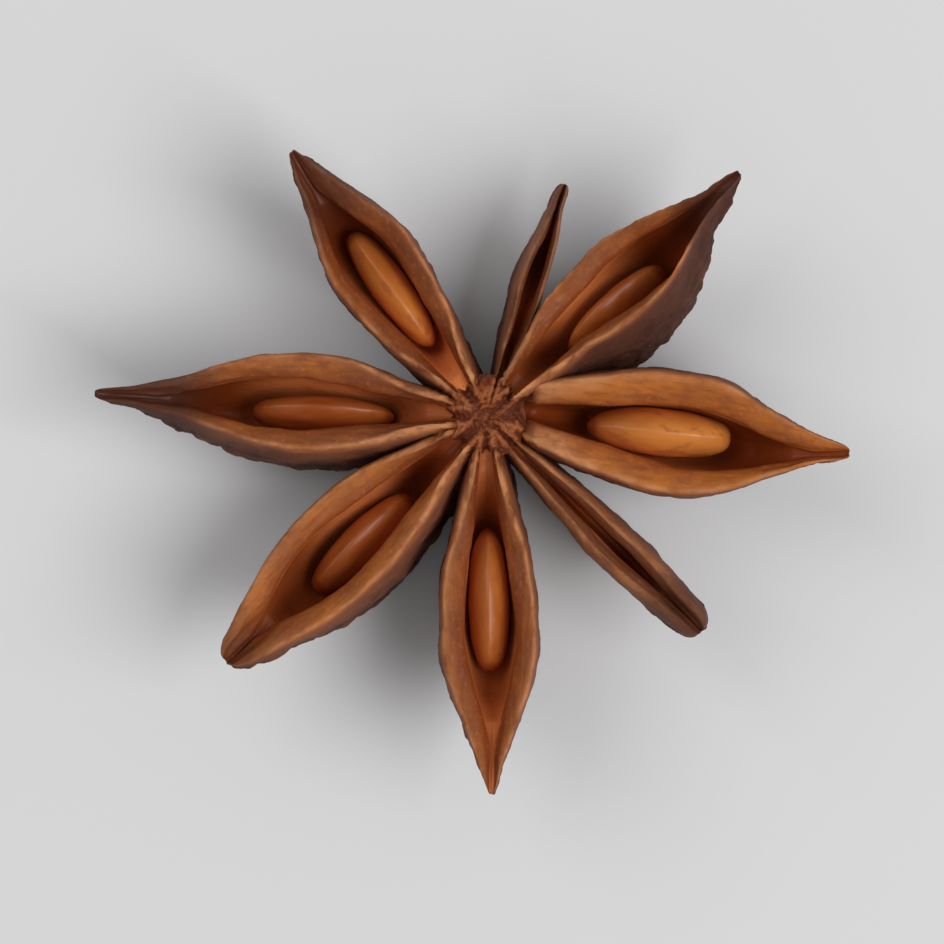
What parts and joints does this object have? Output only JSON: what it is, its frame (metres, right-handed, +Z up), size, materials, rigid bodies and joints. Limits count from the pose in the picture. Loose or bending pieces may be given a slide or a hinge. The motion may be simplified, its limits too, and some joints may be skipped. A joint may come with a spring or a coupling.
{
  "type": "star anise pod",
  "caption": "Dried star-shaped spice pod: boat-shaped woody carpels round a short column, split open along the top with glossy flattened seeds inside, lying open side up.",
  "frame": {"origin": "bottom centre of the whole pod's box, on the surface that its keels lie on", "axes": "+Z up, the open side of the carpels; +X along the longest way across the star"},
  "size_m": [0.0324, 0.0276, 0.0076],
  "materials": {
    "husk": "dried woody husk: tan smooth lips, red-brown lining, rough wrinkled brown outside",
    "seed_coat": "hard glossy orange-brown seed coat"
  },
  "bodies": {
    "root": {"pod": "husk", "seed_e": "seed_coat", "seed_ne": "seed_coat", "seed_nw": "seed_coat", "seed_w": "seed_coat", "seed_sw": "seed_coat", "seed_s": "seed_coat"}
  },
  "joints": []
}
